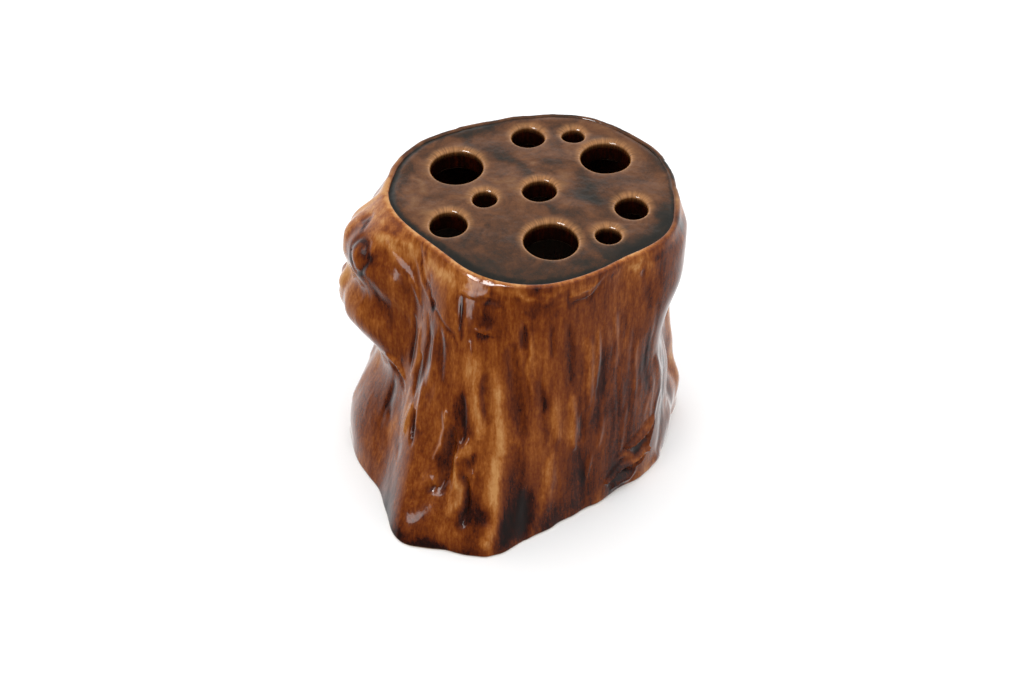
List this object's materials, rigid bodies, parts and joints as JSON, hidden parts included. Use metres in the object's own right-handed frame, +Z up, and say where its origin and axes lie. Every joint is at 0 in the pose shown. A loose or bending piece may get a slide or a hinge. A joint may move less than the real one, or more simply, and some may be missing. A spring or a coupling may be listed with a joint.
{
  "type": "flower frog",
  "caption": "Ceramic flower frog shaped like a cut tree stump, with stem holes of three sizes in its flat sawn top and a hollow inside for water.",
  "frame": {"origin": "middle of the bounding box in plan, on the plane the foot stands on", "axes": "+Z up through the sawn face, the widest extent along X, the swelling of the cut branch towards -X, the front root towards -Y"},
  "size_m": [0.1111, 0.1044, 0.1],
  "materials": {
    "bark_glaze": "amber-brown gloss glaze, pale where it thins on ridges and dark where it pools",
    "face_glaze": "dark brown gloss glaze with a clouded grey-green veil",
    "bare_clay": "unglazed buff clay below, brown glaze inside"
  },
  "bodies": {
    "root": {"trunk_shell": "bark_glaze", "sawn_top": "face_glaze", "floor_disc": "bare_clay"}
  },
  "joints": []
}
